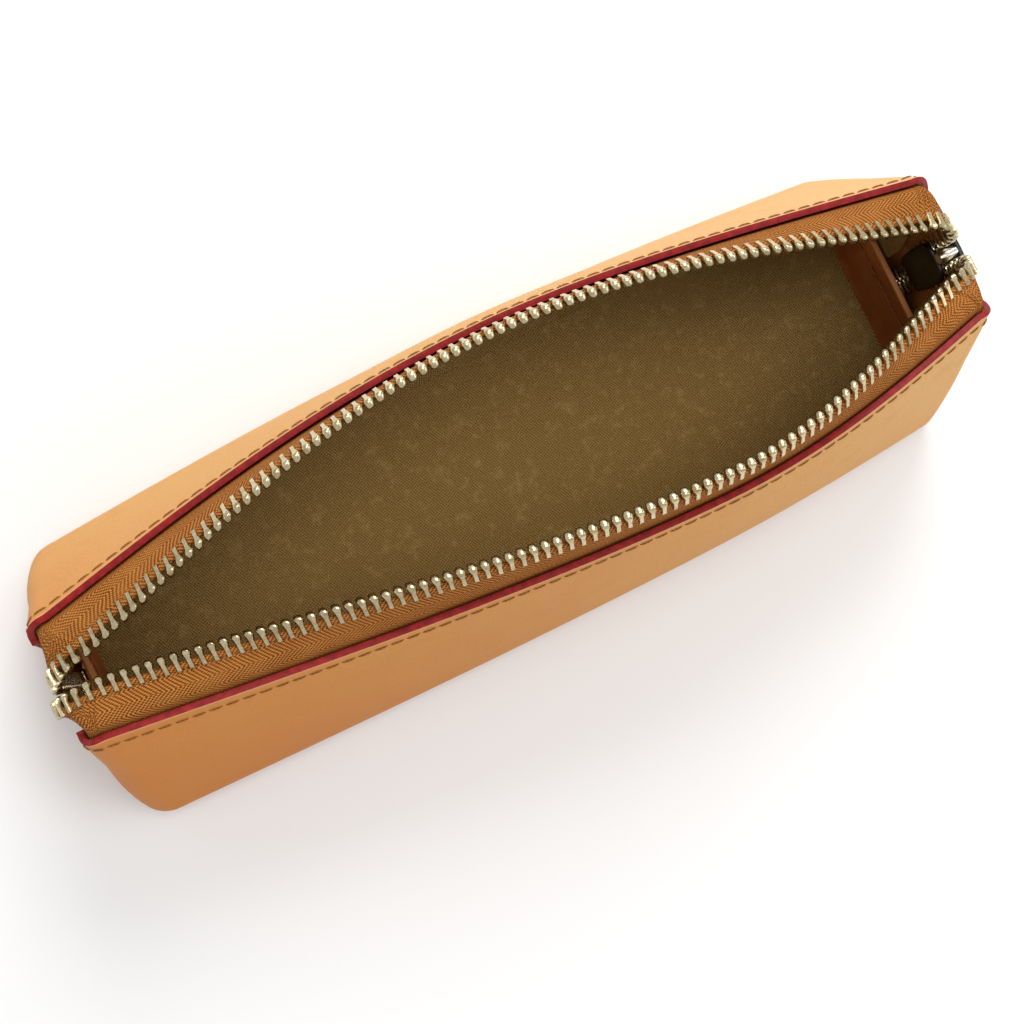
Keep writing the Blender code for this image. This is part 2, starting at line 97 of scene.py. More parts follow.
class Wall:
    """One long wall: its side, widest place, half widths in millimetres at the cut edge (widest,
    left end and right end), how soon that curve falls away to each side, half width of the
    base, how its zip tape stands, and how far out the wall still bends at each end."""

    def __init__(self, name, sign, peak_x, top, ends, bow, base, stand, stand_power, row_x, bends_to):
        self.name, self.sign, self.peak_x, self.top = name, sign, peak_x * MM, top * MM
        self.ends, self.bow, self.base = (ends[0] * MM, ends[1] * MM), bow, base * MM
        self.stand, self.stand_power, self.row_x = stand, stand_power, {-1: row_x * MM, 1: ROW_X}
        joint = next(j for j in frame["record"]["behaviour"]["joints"] if j["name"] == name + "_wall_lean")
        self.body, self.fold_y = joint["child"], abs(joint["pos_m"][1])
        low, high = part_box(name + "_wall_middle")
        self.middle = (low[0], high[0])
        self.split_x = sum(self.middle) / 2
        self.bends_to = {-1: bends_to[0] * MM, 1: bends_to[1] * MM}

    def pin_down(self, piece, end):
        """Bake one half of a wall's piece into its mesh where it stands; it is not bent."""
        near, far = self.middle[1 if end > 0 else 0], end * self.bends_to[end]
        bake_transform(piece)

    def stand_in(self, piece, end, part):
        """A left half stands for the CAD's left and middle stretches, a right half for the right."""
        stretches = ("right",) if end > 0 else ("left", "middle")
        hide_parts(*[f"{self.name}_{part}_{stretch}" for stretch in stretches])


ROW_X = 95 * MM              # teeth stand here on the right end wall
back = Wall("back", 1, 2, 26.8, (12.7, 15.2), (1, 0.87), 33.2, 19, 2.3, 94.2, (90, 80))
front = Wall("front", -1, 33, 21.7, (8.8, 11.8), (0.85, 1), 31.6, 26, 1.75, 95.6, (62, 90))
HALVES = [(wall, end, f"{wall.name}_{'right' if end > 0 else 'left'}")
          for wall in (front, back) for end in (-1, 1)]


def mix(a, b, t):
    return a + (b - a) * t


def smooth(a, b, value):
    """0 below a, 1 above b, easing in and out between them."""
    t = np.clip((value - a) / (b - a), 0, 1)
    return t * t * (3 - 2 * t)


def away(wall, x):
    """Distance from the wall's widest place as a share of the way to its end."""
    reach = np.where(x > wall.peak_x, END_X - wall.peak_x, END_X + wall.peak_x)
    return np.clip(np.abs(x - wall.peak_x) / reach, 0, 1)


def top_y(wall, x):
    """Half width at the cut edge: a quarter cosine from the widest place to the end."""
    right = x > wall.peak_x
    fall = away(wall, x) ** np.where(right, wall.bow[1], wall.bow[0])
    return mix(np.where(right, wall.ends[1], wall.ends[0]), wall.top, np.cos(np.pi / 2 * fall))


def base_y(wall, x):
    """Half width at the base, by the same quarter cosine."""
    return mix(BASE_END, wall.base, np.cos(np.pi / 2 * away(wall, x)))


def wall_y(wall, x, z):
    """Half width at a height: straight from base to cut edge, with a slow wave of soft leather."""
    rise = np.clip((z - FLOOR_Z - CURL) / (WALL_TOP - FLOOR_Z - CURL), 0, 1)
    belly = np.sin(np.pi * rise) * (0.5 + 0.35 * np.sin(x / (21 * MM) + wall.sign)) * MM
    return mix(base_y(wall, x), top_y(wall, x), rise) + belly


def end_x(z):
    low = np.clip(z / (32 * MM), 0, 1)
    return END_X + END_BULGE * np.sin(np.pi * low) - 0.5 * MM * np.sin(np.pi * np.clip(z / WALL_TOP, 0, 1))


def corner_r(z):
    return mix(CORNER_LOW, CORNER_TOP, z / WALL_TOP)


def seam_y(wall, end, z):
    """Half distance between the leather's edges on an end wall: wider towards the mouth."""
    high = top_y(wall, np.float64(end * END_X)) - 2.2 * MM
    return mix(SEAM_Y, high, smooth(SEAM_LOW, WALL_TOP - EDGE_DROP, z))


def body_point(wall, end, t, z, shrink, tucked=False):
    """Points of the folded sheet. t runs 0 to 1 along the long wall from the middle to the
    corner, 1 to 2 as an elliptic quarter turn round the corner, and 2 to 3 across the end wall
    to the zip. shrink offsets the plan inwards; a tucked sheet runs on past the seam, low down as
    far as the middle of the end wall."""
    t, z, shrink = np.broadcast_arrays(t, z, shrink)
    radius = corner_r(z)
    start_x = end_x(z) - radius
    x_long = mix(wall.split_x, end * start_x, np.clip(t, 0, 1))
    side = wall_y(wall, x_long, z)
    seam = seam_y(wall, end, z)
    across = np.minimum(radius, 0.88 * (side - seam))
    inner_x, inner_y = np.maximum(radius - shrink, 0.25 * MM), np.maximum(across - shrink, 0.25 * MM)
    turn = np.clip(t - 1, 0, 1) * np.pi / 2
    x = x_long + end * np.where(t > 1, inner_x * np.sin(turn), 0)
    y = side - shrink - np.where(t > 1, inner_y * (1 - np.cos(turn)), 0)
    past = np.clip((shrink - 2 * MM) * 5, 0, seam - 0.3 * MM) if tucked else 0
    y = mix(y, seam - past, np.clip(t - 2, 0, 1))
    return np.stack([x, wall.sign * y, z], axis=-1)


def edge_z(t, lower=0.0):
    """Height of the cut edge: level along the wall, then a quarter circle down at the end."""
    return WALL_TOP - EDGE_DROP * (1 - np.cos(np.clip(t - 1, 0, 1) * np.pi / 2)) - lower


def grid_faces(rows, columns, closed=False):
    """Quads of a grid of points; closed joins the last column to the first."""
    i = np.arange(rows - 1)[:, None] * columns
    j = np.arange(columns if closed else columns - 1)[None, :]
    k = (j + 1) % columns
    quads = np.stack([i + j, i + k, i + columns + k, i + columns + j], axis=-1)
    return quads.reshape(-1, 4)


def mesh_piece(name, points, faces, attributes=None, smooth_angle=50):
    """A new object at the origin from an array of points, faces and per-point values."""
    mesh = bpy.data.meshes.new(name)
    mesh.from_pydata(points.reshape(-1, 3).tolist(), [], [list(f) for f in faces])
    for key, values in (attributes or {}).items():
        layer = mesh.attributes.new(key, "FLOAT", "POINT")
        layer.data.foreach_set("value", np.asarray(values, np.float32).ravel())
    mesh.shade_smooth()
    mesh.set_sharp_from_angle(angle=math.radians(smooth_angle))
    piece = bpy.data.objects.new(name, mesh)
    bpy.context.collection.objects.link(piece)
    return piece


def thicken(piece, thickness, outward, share=None):
    """Give a sheet its thickness, half to each side, with its faces pointing outward; share
    thins it point by point."""
    solid = piece.modifiers.new("thickness", "SOLIDIFY")
    solid.thickness = thickness
    solid.offset = 0
    if share is not None:
        group = piece.vertex_groups.new(name="share")
        for level in np.unique(np.round(share, 2)):
            group.add(np.flatnonzero(np.round(share.ravel(), 2) == level).tolist(), float(level), "REPLACE")
        solid.vertex_group = "share"
    if outward < 0:
        piece.data.flip_normals()


def round_edges(piece, width, segments, weights):
    """Bevel the edges whose two points both carry a weight over one half."""
    mesh = piece.data
    ends = np.empty(len(mesh.edges) * 2, np.int32)
    mesh.edges.foreach_get("vertices", ends)
    both = (np.asarray(weights).ravel()[ends.reshape(-1, 2)] > 0.5).all(axis=1)
    layer = mesh.attributes.new("bevel_weight_edge", "FLOAT", "EDGE")
    layer.data.foreach_set("value", both.astype(np.float32))
    bevel = piece.modifiers.new("rounding", "BEVEL")
    bevel.limit_method = "WEIGHT"
    bevel.width = width
    bevel.segments = segments


def settle(piece, smooth_angle=40):
    """Make a piece's modifiers its mesh, with creases where it turns sharply."""
    bpy.context.view_layer.update()
    shaped = piece.evaluated_get(bpy.context.evaluated_depsgraph_get())
    mesh = bpy.data.meshes.new_from_object(shaped)
    piece.modifiers.clear()
    piece.data = mesh
    mesh.shade_smooth()
    mesh.set_sharp_from_angle(angle=math.radians(smooth_angle))


def wall_heights(foot_steps=3, curl_steps=7):
    """Rows of a wall: share 0 to 1 across the foot, 1 to 2 round the bottom edge and 2 to 3 up
    to the cut edge, close together where the edge is rounded and stitched."""
    near_edge = np.array([0, .35, .8, 1.4, 2.1, 2.7, 3.3, 4.2, 5.6, 7.5]) * MM
    body = WALL_TOP - FLOOR_Z - CURL
    rise = np.concatenate([np.linspace(0, 1 - 9.5 * MM / body, 20), 1 - near_edge[::-1] / body])
    return np.concatenate([np.linspace(0, 1, foot_steps)[:-1], np.linspace(1, 2, curl_steps)[:-1], 2 + rise])


def sheet_columns(long_steps):
    across = 1 - np.array([1, .86, .72, .58, .46, .36, .27, .19, .13, .08, .045, .02, 0])
    return np.concatenate([np.linspace(0, 1, long_steps)[:-1], np.linspace(1, 2, 11)[:-1], 2 + across])


def folded_grid(wall, end, t, v, depth, rise_depth, lower):
    """The sheet at a depth inside the leather: v as in wall_heights, each t one column."""
    t, v = t[:, None], v[None, :]
    turn = np.clip(v - 1, 0, 1) * np.pi / 2
    z_low = FLOOR_Z + CURL - (CURL - rise_depth) * np.cos(turn)
    z = np.where(v > 2, mix(FLOOR_Z + CURL, edge_z(t, lower), v - 2), z_low + 0 * t)
    shrink = CURL - (CURL - depth) * np.sin(turn) + 0 * t
    points = body_point(wall, end, t + 0 * v, z, shrink, tucked=depth > 0)
    flat = np.clip(1 - v, 0, 1) + 0 * t
    x = points[..., 0]
    fold = np.minimum(wall.fold_y, base_y(wall, x) - CURL - FOLD_INSET)
    sweep = np.cos((t - 1) * np.pi / 2).clip(0, 1)
    foot_y = np.where(t <= 1, fold, np.abs(points[..., 1]) - FOLD_INSET * sweep)
    points[..., 1] = mix(points[..., 1], wall.sign * foot_y, flat)
    inward = np.where(t > 1, FOLD_INSET * np.sin(np.clip(t - 1, 0, 1) * np.pi / 2), 0)
    points[..., 0] -= end * inward * flat
    return points, z


class Socket:
    """A shader value that adds Math nodes when it is used in an expression."""

    def __init__(self, nodes, output):
        self.nodes, self.output = nodes, output

    def _math(self, operation, *values):
        return self.nodes.add("ShaderNodeMath", {"operation": operation}, *values)

    def __add__(self, other):
        return self._math("ADD", self, other)

    def __radd__(self, other):
        return self._math("ADD", other, self)

    def __sub__(self, other):
        return self._math("SUBTRACT", self, other)

    def __rsub__(self, other):
        return self._math("SUBTRACT", other, self)

    def __mul__(self, other):
        return self._math("MULTIPLY", self, other)

    def __rmul__(self, other):
        return self._math("MULTIPLY", other, self)

    def __truediv__(self, other):
        return self._math("DIVIDE", self, other)

    def sin(self):
        return self._math("SINE", self)

    def fraction(self):
        return self._math("FRACT", self)

    def distance(self):
        return self._math("ABSOLUTE", self)

    def ease(self, low, high):
        """0 below low, 1 above high, smooth between."""
        return self.nodes.add("ShaderNodeMapRange", {"interpolation_type": "SMOOTHSTEP"}, self, low, high)


NOISE_ROUGHNESS = 0.55       # how much the finer octaves of every cloud and speck count


class Finish:
    """A node material under construction."""

    def __init__(self, name):
        self.material = bpy.data.materials.new(name)
        self.material.use_nodes = True
        self.tree = self.material.node_tree
        self.shader = self.tree.nodes["Principled BSDF"]
        self.place = self.tree.nodes.new("ShaderNodeTexCoord").outputs["Object"]

    def add(self, kind, settings, *values, output=0, **named):
        """Any node: its type, its settings, then its sockets by order or by name."""
        node = self.tree.nodes.new(kind)
        for key, value in settings.items():
            if key == "stops":
                self._fill_ramp(node, value)
            else:
                setattr(node, key, value)
        for key, value in [*enumerate(values), *named.items()]:
            self._feed(node.inputs[key.replace("_", " ") if isinstance(key, str) else key], value)
        return Socket(self, node.outputs[output])

    def _fill_ramp(self, node, stops):
        elements = node.color_ramp.elements
        while len(elements) < len(stops):
            elements.new(0.5)
        for element, (position, colour) in zip(elements, stops):
            element.position, element.color = position, (*colour, 1)

    def _feed(self, socket, value):
        if isinstance(value, Socket):
            value = value.output
        if isinstance(value, bpy.types.NodeSocket):
            self.tree.links.new(value, socket)
        elif value is not None:
            if hasattr(value, "__len__") and len(value) == 3 and len(socket.default_value) == 4:
                value = (*value, 1)
            socket.default_value = value

    def noise(self, scale, detail, at=None):
        return self.add("ShaderNodeTexNoise", {}, Vector=at or self.place, Scale=scale, Detail=detail,
                        Roughness=NOISE_ROUGHNESS)

    def attribute(self, name):
        return self.add("ShaderNodeAttribute", {"attribute_name": name}, output="Fac")

    def blend(self, a, b, share):
        """Mix two colours."""
        node = self.tree.nodes.new("ShaderNodeMix")
        node.data_type = "RGBA"
        for key, value in ((0, share), (6, a), (7, b)):
            self._feed(node.inputs[key], value)
        return Socket(self, node.outputs[2])

    def stretched(self, scale):
        """Object coordinates scaled, for patterns longer one way than another."""
        return self.add("ShaderNodeMapping", {}, self.place, Scale=scale)

    def finish(self, colour, roughness, height=None, relief=0.0, **fixed):
        """Feed the shader; height bumps it by relief metres."""
        self._feed(self.shader.inputs["Base Color"], colour)
        self._feed(self.shader.inputs["Roughness"], roughness)
        for key, value in fixed.items():
            self._feed(self.shader.inputs[key.replace("_", " ")], value)
        if height is not None:
            bump = self.add("ShaderNodeBump", {}, Strength=1.0, Distance=relief, Height=height)
            self._feed(self.shader.inputs["Normal"], bump)
        return self.material


def tone(red, green, blue):
    """A colour given as it looks on screen, 0 to 255, made linear."""
    share = np.array([red, green, blue]) / 255
    return tuple(np.where(share > 0.04045, ((share + 0.055) / 1.055) ** 2.4, share / 12.92))


def tan_leather():
    """Grain: fine pebbles and pores over painted light and shade, darker at the front left and lighter
    towards the back and right, a painted highlight along the rounded edge and red edge paint."""
    look = Finish("tan_leather")
    cloud = look.noise(22, 3)
    patch = look.noise(120, 4)
    pebble = look.add("ShaderNodeTexVoronoi", {"feature": "F1"}, Vector=look.place, Scale=1500)
    pore = look.noise(4200, 2)
    x, y = [look.add("ShaderNodeSeparateXYZ", {}, look.place, output=axis) for axis in ("X", "Y")]
    # painted light and shade: the leather is painted darker at the front and left and lighter towards the
    # back and right, where the light falls
    painted_light_and_shade = x + y * 2 + cloud * 0.08
    base = look.blend(tone(199, 120, 40), tone(218, 160, 84), painted_light_and_shade.ease(-0.12, 0.07))
    base = look.blend(base, tone(228, 180, 116), painted_light_and_shade.ease(0, 0.22))
    base = look.blend(base, tone(192, 122, 52), patch.ease(0.5, 0.85) * 0.25)
    base = look.blend(base, tone(180, 114, 50), pebble.ease(0.45, 0.9) * 0.16)
    base = look.blend(base, tone(168, 104, 44), pore.ease(0.55, 0.8) * 0.2)
    to_edge = look.attribute("to_edge")
    wander = look.noise(700, 2)
    paint = 1 - (to_edge + (wander - 0.5) * 0.12).ease(0.1, 0.2)
    # painted highlight: a pale band painted on the rounded cut edge beside the red paint
    edge_highlight = 1 - to_edge.ease(0.45, 0.95)
    base = look.blend(base, tone(232, 156, 112), edge_highlight * 0.6)
    red = look.blend(tone(120, 15, 18), tone(156, 28, 28), wander.ease(0.3, 0.75))
    colour = look.blend(base, red, paint)
    height = pebble * 0.6 + pore * 0.4 + patch * 0.5
    rough = 0.52 + cloud * 0.1 - paint * 0.08 + pore * 0.06
    return look.finish(colour, rough, height * (1 - paint * 0.85), 0.0001, Specular_IOR_Level=0.25)


leather_finish = tan_leather()


def leather_half(wall, end, name):
    """One half of a wall, from the fold of the base to the painted edge."""
    t, v = sheet_columns(70), wall_heights()
    points, z = folded_grid(wall, end, t, v, 0, 0, 0)
    tt = t[:, None] + 0 * z
    groove = np.exp(-((edge_z(tt) - z - STITCH_INSET) / (0.55 * MM)) ** 2) * (tt < 2)
    from_top = (edge_z(tt) - z) * 1.03
    from_seam = np.where(tt > 2, np.abs(np.abs(points[..., 1]) - seam_y(wall, end, z)), 1)
    groove = np.maximum(groove, np.exp(-((from_seam - STITCH_INSET) / (0.55 * MM)) ** 2) * (from_top > 0))
    points[..., 1] -= wall.sign * groove * 0.14 * MM * (tt < 1.5)
    points[..., 0] -= end * groove * 0.14 * MM * (tt >= 1.5)
    to_edge = np.minimum(from_top, from_seam) / MM
    piece = mesh_piece(f"{name}_leather", points, grid_faces(*z.shape), {"to_edge": to_edge})
    thicken(piece, LEATHER, wall.sign * end, mix(SKIVED, 1, smooth(0.5, 7, to_edge)))
    round_edges(piece, 0.5 * MM, 4, to_edge < 0.01)
    piece.data.materials.append(leather_finish)
    settle(piece)
    wall.pin_down(piece, end)
    wall.stand_in(piece, end, "wall")


for wall, end, name in HALVES:
    leather_half(wall, end, name)


BASE_CORNER = 0.25 * MM      # the base's corners are rounded by this much, under the walls
BASE_STEPS = 121


def base_leather():
    """The base of the sheet, out to the fold lines; between the seams its ends curl up to the zip."""
    s = np.linspace(-1, 1, 41)
    flat_x = END_X - CURL - FOLD_INSET
    x_flat = np.linspace(-flat_x, flat_x, BASE_STEPS)
    turn = np.linspace(0, 1.35, 8)[1:]
    x_end = END_X - CURL + CURL * np.sin(turn)
    z_end = FLOOR_Z + CURL * (1 - np.cos(turn))
    x = np.concatenate([-x_end[::-1], x_flat, x_end])
    z = np.concatenate([z_end[::-1], np.full(BASE_STEPS, FLOOR_Z), z_end])
    sides = []
    for wall in (front, back):
        half = np.minimum(wall.fold_y, base_y(wall, x) - CURL - FOLD_INSET)
        corner = np.clip((np.abs(x) - (flat_x - BASE_CORNER)) / BASE_CORNER, 0, 1)
        half = half - BASE_CORNER * (1 - np.sqrt(1 - np.minimum(corner, 0.999) ** 2))
        sides.append(np.where(np.abs(x) > flat_x + 1e-6, SEAM_Y - 0.3 * MM, half))
    y = mix(-sides[0][:, None], sides[1][:, None], (s[None, :] + 1) / 2)
    points = np.stack([x[:, None] + 0 * y, y, z[:, None] + 0 * y], axis=-1)
    piece = mesh_piece("base_leather", points, grid_faces(*y.shape), {"to_edge": np.full(y.shape, 9.0)})
    thicken(piece, LEATHER, -1)
    piece.data.materials.append(leather_finish)
    settle(piece)
    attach(piece, "root")
    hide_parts("base_panel")


base_leather()

# ---------------------------------------------------------------------------------------------
# Stitches: waxed golden-brown thread, one lockstitch about every 3 mm, in a groove beside the cut
# edge. They hold the leather, the zip tape and the lining together.
# ---------------------------------------------------------------------------------------------
STITCH_PITCH = 3.1 * MM
STITCH_LENGTH = 2.6 * MM
THREAD = 0.19 * MM


def unit(v):
    return v / np.maximum(np.linalg.norm(v, axis=-1, keepdims=True), 1e-12)


def square_to(along, normal):
    """The part of normal that is square to along, one long."""
    return unit(normal - along * (normal * along).sum(axis=1, keepdims=True))


def run_of(path):
    """Distance along a polyline at each of its points."""
    return np.concatenate([[0], np.cumsum(np.linalg.norm(np.diff(path, axis=0), axis=1))])


def places(path, run, at):
    """Points of a polyline at given distances along it."""
    return np.stack([np.interp(at, run, path[:, k]) for k in range(3)], axis=1)


def resampled(path, pitch, inset):
    """Points and directions at even distances along a polyline."""
    run = run_of(path)
    at = np.arange(inset, run[-1] - inset, pitch)
    where = places(path, run, at)
    return where, unit(places(path, run, at + 0.1 * MM) - where)


def capped_rings(count, rings, sides):
    """Faces of count closed forms, each a stack of rings with both ends capped."""
    one, faces = grid_faces(rings, sides, closed=True), []
    for first in range(0, count * rings * sides, rings * sides):
        faces += (one + first).tolist()
        faces.append(list(range(first + sides - 1, first - 1, -1)))
        faces.append(list(range(first + (rings - 1) * sides, first + rings * sides)))
    return faces


def capsules(name, centres, along, normal, length, radius, rings=7, sides=8):
    """Stitches: each an elliptic lozenge, widest in the middle and dipping at both ends."""
    u = np.linspace(-1, 1, rings)
    girth = np.sqrt(np.clip(1 - np.abs(u) ** 5 * 0.9, 0, 1)) * radius
    angle = np.arange(sides) * 2 * np.pi / sides
    side = unit(np.cross(normal, along))
    centre = centres[:, None, None, :] + along[:, None, None, :] * (u * length / 2)[None, :, None, None]
    centre = centre - normal[:, None, None, :] * (u ** 4 * radius * 0.9)[None, :, None, None]
    ring = side[:, None, None, :] * np.cos(angle)[None, None, :, None]
    ring = ring + normal[:, None, None, :] * np.sin(angle)[None, None, :, None] * 0.8
    points = centre + ring * girth[None, :, None, None]
    return mesh_piece(name, points, capped_rings(len(centres), rings, sides), smooth_angle=80)


def waxed_thread():
    """Twisted strands: a fine diagonal rib, darker between the strands."""
    look = Finish("waxed_thread")
    strand = look.add("ShaderNodeTexWave", {"wave_type": "BANDS", "bands_direction": "DIAGONAL"},
                      Vector=look.place, Scale=900, Distortion=1.5)
    speck = look.noise(900, 2)
    colour = look.blend(tone(124, 76, 28), tone(166, 108, 44), strand)
    colour = look.blend(colour, tone(92, 54, 22), speck.ease(0.5, 0.8) * 0.5)
    return look.finish(colour, 0.55, strand, 0.00004)


thread_finish = waxed_thread()


def edge_line(wall, end, inset, proud):
    """A line on the sheet at a distance inside the cut edge, from the middle to the zip's foot."""
    t = np.concatenate([np.linspace(0, 1, 90), np.linspace(1, 1.9, 12)[1:]])
    along = body_point(wall, end, t, edge_z(t, inset), -proud)
    z = np.linspace(WALL_TOP - EDGE_DROP - inset - 3 * MM, 6 * MM, 40)
    x = end * (end_x(z) + proud)
    y = wall.sign * (seam_y(wall, end, z) + inset)
    return np.concatenate([along, np.stack([x, y, z], axis=1)])


def outward(wall, end, at):
    """Rough outward direction of the body at points on it."""
    on_end = smooth(END_X - 6 * MM, END_X - 1.5 * MM, np.abs(at[:, 0]))[:, None]
    side = np.array([0, wall.sign * 0.96, 0.28])
    return unit(mix(side[None, :], np.array([[end, 0, 0]]), on_end))


for wall, end, name in HALVES:
    centres, along = resampled(edge_line(wall, end, STITCH_INSET, LEATHER / 2), STITCH_PITCH, 1.5 * MM)
    normal = square_to(along, outward(wall, end, centres))
    stitches = capsules(f"{name}_stitches", centres, along, normal, STITCH_LENGTH, THREAD)
    stitches.data.materials.append(thread_finish)
    wall.pin_down(stitches, end)

# ---------------------------------------------------------------------------------------------
# Zip rows: where the two rows of teeth run, up the left end wall, over the corner, along the
# mouth and down the right end wall into the slider.
# ---------------------------------------------------------------------------------------------
STAND_WIDTH = 8.6 * MM       # leather's edge to row
STAND_END = 94               # degrees from upright at the ends, a little past flat
ROW_BEND = 8 * MM
ROW_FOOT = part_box("bottom_stop")[1][2] + 0.4 * MM
ZIP_CENTRE = {-1: 0.6 * MM, 1: 0.8 * MM}


def stand_angle(wall, x):
    """How far the tape leans from upright: standing at the widest place, flat at the ends."""
    return np.radians(mix(wall.stand, STAND_END, away(wall, x) ** wall.stand_power))


def row_half(end, z):
    """Half distance between the rows on an end wall; the post needs room on the right."""
    if end < 0:
        return mix(1.55 * MM, 2.05 * MM, smooth(20 * MM, 40 * MM, z))
    return mix(1.3 * MM, 3.3 * MM, smooth(26 * MM, 31 * MM, z))


def row_path(wall, end, count=400):
    """Row centre, width direction (towards the mouth), outward direction and station t over one
    half: straight along the mouth, a quarter circle over the corner, then down the end wall."""
    bend_x = wall.row_x[end] - ROW_BEND
    x_top = np.linspace(wall.split_x, end * bend_x, count)
    angle = stand_angle(wall, x_top)
    top = np.stack([x_top, wall.sign * (top_y(wall, x_top) - STAND_WIDTH * np.sin(angle)),
                    WALL_TOP + STAND_WIDTH * np.cos(angle)], axis=1)
    width_top = np.stack([0 * angle, -wall.sign * np.sin(angle), np.cos(angle)], axis=1)
    out_top = np.stack([0 * angle, wall.sign * np.cos(angle), np.sin(angle)], axis=1)
    bend_z = top[-1, 2] - ROW_BEND
    foot_y = ZIP_CENTRE[end] + wall.sign * row_half(end, bend_z)
    turn = np.linspace(0, np.pi / 2, 40)[1:]
    share = smooth(0, np.pi / 2, turn)
    bend = np.stack([end * (bend_x + ROW_BEND * np.sin(turn)), mix(top[-1, 1], foot_y, share),
                     bend_z + ROW_BEND * np.cos(turn)], axis=1)
    width_bend = np.tile([0.0, -wall.sign, 0.0], (len(turn), 1))
    out_bend = np.stack([end * np.sin(turn), 0 * turn, np.cos(turn)], axis=1)
    z = np.linspace(bend_z, ROW_FOOT, 80)[1:]
    down_y = ZIP_CENTRE[end] + wall.sign * row_half(end, z)
    down = np.stack([0 * z + end * wall.row_x[end], down_y, z], axis=1)
    width_down = np.tile([0.0, -wall.sign, 0.0], (len(z), 1))
    out_down = np.tile([float(end), 0.0, 0.0], (len(z), 1))
    t = np.concatenate([np.linspace(0, 1, count), 1 + turn / (np.pi / 2), np.full(len(z), 3.0)])
    return (np.concatenate([top, bend, down]), unit(np.concatenate([width_top, width_bend, width_down])),
            unit(np.concatenate([out_top, out_bend, out_down])), t)


# ---------------------------------------------------------------------------------------------
# Zip tapes: two woven polyester tapes in orange tan, herringbone, sewn in behind the leather,
# with a round cord along the toothed edge.
# ---------------------------------------------------------------------------------------------
TAPE = 0.5 * MM
TAPE_DEPTH = 1.45 * MM
TAPE_HIDDEN = 4 * MM
TAPE_FOOT = 5.4 * MM         # the tape runs on below the last teeth, down to the base
TOOTH = 3.4 * MM
CORD_AT = 1.05 * MM          # from the row's centre towards the tape
CORD = 0.72 * MM             # radius
CORD_SIDES = 10


def herringbone_tape():
    """Slanting ribs that change side every 2.1 mm across the tape, each rib a run of short
    stitches; coordinates in millimetres across and along the tape."""
    look = Finish("herringbone_tape")
    across, along = look.attribute("across"), look.attribute("along")
    column = (across / 4.2 + 0.12).fraction()
    slant = (column - 0.5).distance() * 4.2
    rib = ((along * 0.8 + slant * 0.95) * (2 * math.pi / 0.7)).sin()
    bead = ((along * 0.55 - slant * 0.9) * (2 * math.pi / 0.42)).sin()
    weft = (across * (2 * math.pi / 0.42)).sin()
    height = rib * 0.3 + bead * 0.2 + weft * 0.08 + 0.5
    wear = look.noise(160, 3)
    fibre = look.noise(3500, 2)
    colour = look.blend(tone(90, 44, 12), tone(200, 128, 54), height.ease(0.05, 0.95))
    colour = look.blend(colour, tone(190, 126, 62), wear.ease(0.45, 0.75) * 0.25)
    colour = look.blend(colour, tone(100, 54, 20), fibre.ease(0.55, 0.8) * 0.3)
    return look.finish(colour, 0.85, height + fibre * 0.2, 0.00018, Specular_IOR_Level=0.2)


tape_finish = herringbone_tape()


def tape_half(wall, end, name):
    """A tape as a curved strip: behind the leather, out past its edge, then in a soft arc over
    to the cord."""
    row, width, out, t = row_path(wall, end, 150)
    below = row[-1] * [1, 1, 0] + np.linspace(ROW_FOOT, TAPE_FOOT, 8)[1:, None] * [0, 0, 1]
    row = np.concatenate([row, below])
    width, out, t = [np.concatenate([a, np.repeat(a[-1:], len(below), axis=0)]) for a in (width, out, t)]
    on_end = t > 2
    z = np.where(on_end, row[:, 2], edge_z(np.minimum(t, 2), 0.2 * MM))
    seam = body_point(wall, end, np.minimum(t, 2.0), z, TAPE_DEPTH)
    beside_y = wall.sign * (seam_y(wall, end, z) + 0.1 * MM)
    seam_end = np.stack([end * (end_x(z) - TAPE_DEPTH), beside_y, z], axis=1)
    share = smooth(1.2, 2.0, t)[:, None]
    seam = mix(seam, seam_end, share)
    low = body_point(wall, end, np.minimum(t, 2.0), z - TAPE_HIDDEN, TAPE_DEPTH)
    beside = seam_end + np.array([0, wall.sign * TAPE_HIDDEN, 0])
    hidden = mix(low, beside, share)
    up = unit(seam - hidden)
    edge = row - width * (CORD_AT + 0.3 * MM)
    reach = np.linalg.norm(edge - seam, axis=1, keepdims=True)
    guide = seam + up * reach * 0.45
    q = np.linspace(0, 1, 15)[None, :, None]
    arc = (1 - q) ** 2 * seam[:, None] + 2 * q * (1 - q) * guide[:, None] + q ** 2 * edge[:, None]
    ripple = np.sin(t * 95 + wall.sign) * np.sin(t * 37) * smooth(0.3, 1.0, t)
    arc = arc + out[:, None, :] * (ripple[:, None, None] * np.sin(np.pi * q) * 0.22 * MM)
    start = mix(hidden[:, None], seam[:, None], np.linspace(0, 1, 4)[None, :-1, None])
    points = np.concatenate([start, arc], axis=1)
    along = run_of(row) / MM
    steps = np.linalg.norm(np.diff(points, axis=1), axis=2)
    across = np.concatenate([np.zeros((len(t), 1)), np.cumsum(steps, axis=1)], axis=1) / MM
    values = {"across": across, "along": along[:, None] + 0 * across}
    piece = mesh_piece(f"{name}_tape", points, grid_faces(*across.shape), values)
    thicken(piece, TAPE, wall.sign * end)
    piece.data.materials.append(tape_finish)
    settle(piece)
    wall.pin_down(piece, end)
    wall.stand_in(piece, end, "tape")


